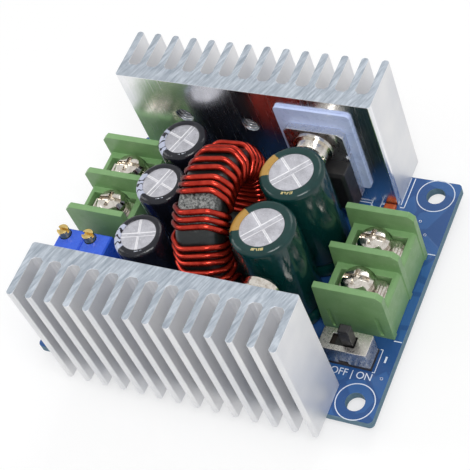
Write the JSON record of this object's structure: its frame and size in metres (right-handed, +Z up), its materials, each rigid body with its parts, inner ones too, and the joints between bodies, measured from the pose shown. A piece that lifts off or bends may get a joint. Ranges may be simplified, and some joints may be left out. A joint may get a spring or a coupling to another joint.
{
  "type": "dc-dc converter",
  "caption": "Open-board dc-dc converter module: finned heatsinks, wound toroid, capacitors, screw terminals, trimmers and a slide switch on a drilled circuit board.",
  "frame": {"origin": "centre of the four mounting holes, on the underside of the circuit board", "axes": "+X along the heatsinks to the side with the slide switch, +Y to the rear heatsink, +Z up from the board"},
  "size_m": [0.0603, 0.0527, 0.0293],
  "materials": {
    "board": "satin solder mask over glass laminate",
    "heatsink": "extruded, saw-cut ends",
    "pad": "soft matt pad",
    "black_moulding": "matt moulding",
    "tinned_metal": "tinned",
    "bush": "moulded bush",
    "nickel": "nickel plated",
    "green_moulding": "moulded, slightly glossy",
    "blue_moulding": "glossy moulding",
    "brass": "turned",
    "can": "drawn, scored",
    "black_sleeve": "shrunk sleeve",
    "green_sleeve": "shrunk sleeve",
    "seal": "moulded rubber",
    "core": "coated powder core",
    "enamelled_wire": "enamelled copper",
    "switch_metal": "plated sheet",
    "lamp": "tinted resin",
    "chip_ceramic": "fired ceramic",
    "solder": "solder"
  },
  "bodies": {
    "board_assembly": {"amplifier_chip": "black_moulding", "capacitor_leads": "tinned_metal", "capacitor_seals": "seal", "chip_capacitors": "chip_ceramic", "chip_resistors": "black_moulding", "circuit_board": "board", "controller_chip": "black_moulding", "device_bushes": "bush", "device_screws": "nickel", "device_washers": "nickel", "front_device_case": "black_moulding", "front_device_leads": "tinned_metal", "front_heatsink": "heatsink", "front_input_capacitor_can": "can", "front_input_capacitor_sleeve": "black_sleeve", "front_insulating_pad": "pad", "front_output_capacitor_can": "can", "front_output_capacitor_sleeve": "green_sleeve", "indicator_lamp": "lamp", "inductor_core": "core", "inductor_winding": "enamelled_wire", "left_terminal_contacts": "nickel", "left_terminal_housing": "green_moulding", "left_trimmer_housing": "blue_moulding", "middle_input_capacitor_can": "can", "middle_input_capacitor_sleeve": "black_sleeve", "rear_device_case": "black_moulding", "rear_device_leads": "tinned_metal", "rear_heatsink": "heatsink", "rear_input_capacitor_can": "can", "rear_input_capacitor_sleeve": "black_sleeve", "rear_insulating_pad": "pad", "rear_output_capacitor_can": "can", "rear_output_capacitor_sleeve": "green_sleeve", "right_terminal_contacts": "nickel", "right_terminal_housing": "green_moulding", "right_trimmer_housing": "blue_moulding", "shunt_resistor": "black_moulding", "solder_joints": "solder", "switch_base": "black_moulding", "switch_pins": "tinned_metal", "switch_shell": "switch_metal", "trimmer_pins": "tinned_metal"},
    "right_clamp_1": {"right_clamp_plate_1": "nickel", "right_spring_washer_1": "nickel"},
    "right_screw_1": {"right_terminal_screw_1": "nickel"},
    "right_clamp_2": {"right_clamp_plate_2": "nickel", "right_spring_washer_2": "nickel"},
    "right_screw_2": {"right_terminal_screw_2": "nickel"},
    "left_clamp_1": {"left_clamp_plate_1": "nickel", "left_spring_washer_1": "nickel"},
    "left_screw_1": {"left_terminal_screw_1": "nickel"},
    "left_clamp_2": {"left_clamp_plate_2": "nickel", "left_spring_washer_2": "nickel"},
    "left_screw_2": {"left_terminal_screw_2": "nickel"},
    "left_trimmer_adjuster": {"left_trimmer_screw": "brass"},
    "right_trimmer_adjuster": {"right_trimmer_screw": "brass"},
    "switch_actuator": {"switch_slider": "black_moulding"}
  },
  "joints": [
    {"name": "right_clamp_1_lift", "type": "slide", "parent": "board_assembly", "child": "right_clamp_1", "axis": [0, 0, 1], "range_m": [0, 0.002]},
    {"name": "right_screw_1_turn", "type": "hinge", "parent": "right_clamp_1", "child": "right_screw_1", "pos_m": [0.02275, -0.0036, 0.0105], "axis": [0, 0, 1], "range_deg": [0, 1440]},
    {"name": "right_clamp_2_lift", "type": "slide", "parent": "board_assembly", "child": "right_clamp_2", "axis": [0, 0, 1], "range_m": [0, 0.002]},
    {"name": "right_screw_2_turn", "type": "hinge", "parent": "right_clamp_2", "child": "right_screw_2", "pos_m": [0.02275, 0.0039, 0.0105], "axis": [0, 0, 1], "range_deg": [0, 1440]},
    {"name": "left_clamp_1_lift", "type": "slide", "parent": "board_assembly", "child": "left_clamp_1", "axis": [0, 0, 1], "range_m": [0, 0.002]},
    {"name": "left_screw_1_turn", "type": "hinge", "parent": "left_clamp_1", "child": "left_screw_1", "pos_m": [-0.02435, 0.0023, 0.0105], "axis": [0, 0, 1], "range_deg": [0, 1440]},
    {"name": "left_clamp_2_lift", "type": "slide", "parent": "board_assembly", "child": "left_clamp_2", "axis": [0, 0, 1], "range_m": [0, 0.002]},
    {"name": "left_screw_2_turn", "type": "hinge", "parent": "left_clamp_2", "child": "left_screw_2", "pos_m": [-0.02435, 0.0098, 0.0105], "axis": [0, 0, 1], "range_deg": [0, 1440]},
    {"name": "left_trimmer_turn", "type": "hinge", "parent": "board_assembly", "child": "left_trimmer_adjuster", "pos_m": [-0.02835, -0.0063, 0.0125], "axis": [0, 0, 1], "continuous": true},
    {"name": "right_trimmer_turn", "type": "hinge", "parent": "board_assembly", "child": "right_trimmer_adjuster", "pos_m": [-0.0235, -0.0063, 0.0125], "axis": [0, 0, 1], "continuous": true},
    {"name": "switch_slide", "type": "slide", "parent": "board_assembly", "child": "switch_actuator", "axis": [-1, 0, 0], "range_m": [0, 0.002]}
  ],
  "couplings": [
    {"joint": "right_screw_1_turn", "follows": "right_clamp_1_lift", "rad_per_m": 12566},
    {"joint": "right_screw_2_turn", "follows": "right_clamp_2_lift", "rad_per_m": 12566},
    {"joint": "left_screw_1_turn", "follows": "left_clamp_1_lift", "rad_per_m": 12566},
    {"joint": "left_screw_2_turn", "follows": "left_clamp_2_lift", "rad_per_m": 12566}
  ]
}
